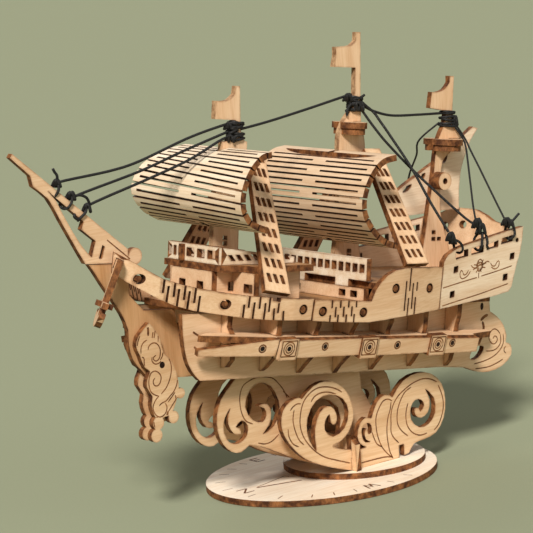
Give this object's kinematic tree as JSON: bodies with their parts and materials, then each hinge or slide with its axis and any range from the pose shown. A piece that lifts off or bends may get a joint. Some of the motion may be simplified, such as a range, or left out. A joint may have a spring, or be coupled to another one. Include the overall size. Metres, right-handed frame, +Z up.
{
  "type": "wooden jigsaw model ship",
  "caption": "Laser-cut plywood sailing ship puzzle with slitted curved sails, corded rigging and a scroll-wave stand on a stepped oval compass base.",
  "frame": {"origin": "centre of the oval base plate's underside, on the surface it stands on", "axes": "+X towards the ship's stern along the base's long axis, +Y to starboard, +Z up"},
  "size_m": [0.2408, 0.0846, 0.1798],
  "materials": {
    "plywood": "smooth uncoated basswood ply with scorched laser-cut edges",
    "plywood_inner": "uncoated basswood ply, browner inner sheets",
    "cord": "matt black waxed cord"
  },
  "bodies": {
    "root": {"base_plate": "plywood", "base_step": "plywood", "wave_aft_port": "plywood", "wave_aft_starboard": "plywood", "wave_fore_port": "plywood", "wave_fore_starboard": "plywood", "stand_cross_1": "plywood_inner", "stand_cross_2": "plywood_inner", "keel_plate": "plywood", "bowsprit": "plywood", "side_plate_port": "plywood", "side_plate_starboard": "plywood", "rib_1": "plywood", "rib_2": "plywood", "rib_3": "plywood", "rib_4": "plywood", "rib_5": "plywood", "rib_6": "plywood", "rib_7": "plywood", "wale_port": "plywood", "wale_starboard": "plywood", "gunwale_fore_port": "plywood", "gunwale_fore_starboard": "plywood", "quarter_panel_port": "plywood", "quarter_panel_starboard": "plywood", "stern_panel_port": "plywood", "stern_panel_starboard": "plywood", "transom": "plywood", "bow_scroll_port": "plywood", "bow_scroll_starboard": "plywood", "anchor": "plywood_inner", "main_deck": "plywood_inner", "forecastle_deck": "plywood_inner", "quarterdeck": "plywood_inner", "forecastle_bulkhead": "plywood", "forecastle_rail": "plywood", "waist_bulkhead": "plywood", "waist_rail": "plywood", "fore_mast": "plywood", "main_mast": "plywood", "mizzen_mast": "plywood", "crows_nest_main": "plywood", "crows_nest_mizzen": "plywood", "fore_sail": "plywood", "main_sail": "plywood", "lateen_sail": "plywood", "fore_shroud_port": "plywood", "fore_shroud_starboard": "plywood", "main_shroud_port": "plywood", "main_shroud_starboard": "plywood", "line_forestay_outer": "cord", "line_forestay_middle": "cord", "line_forestay_inner": "cord", "line_main_stay": "cord", "line_mizzen_stay": "cord", "line_backstay_forward": "cord", "line_backstay_middle": "cord", "line_vang_middle": "cord", "line_vang_aft": "cord", "line_vang_starboard": "cord"}
  },
  "joints": []
}
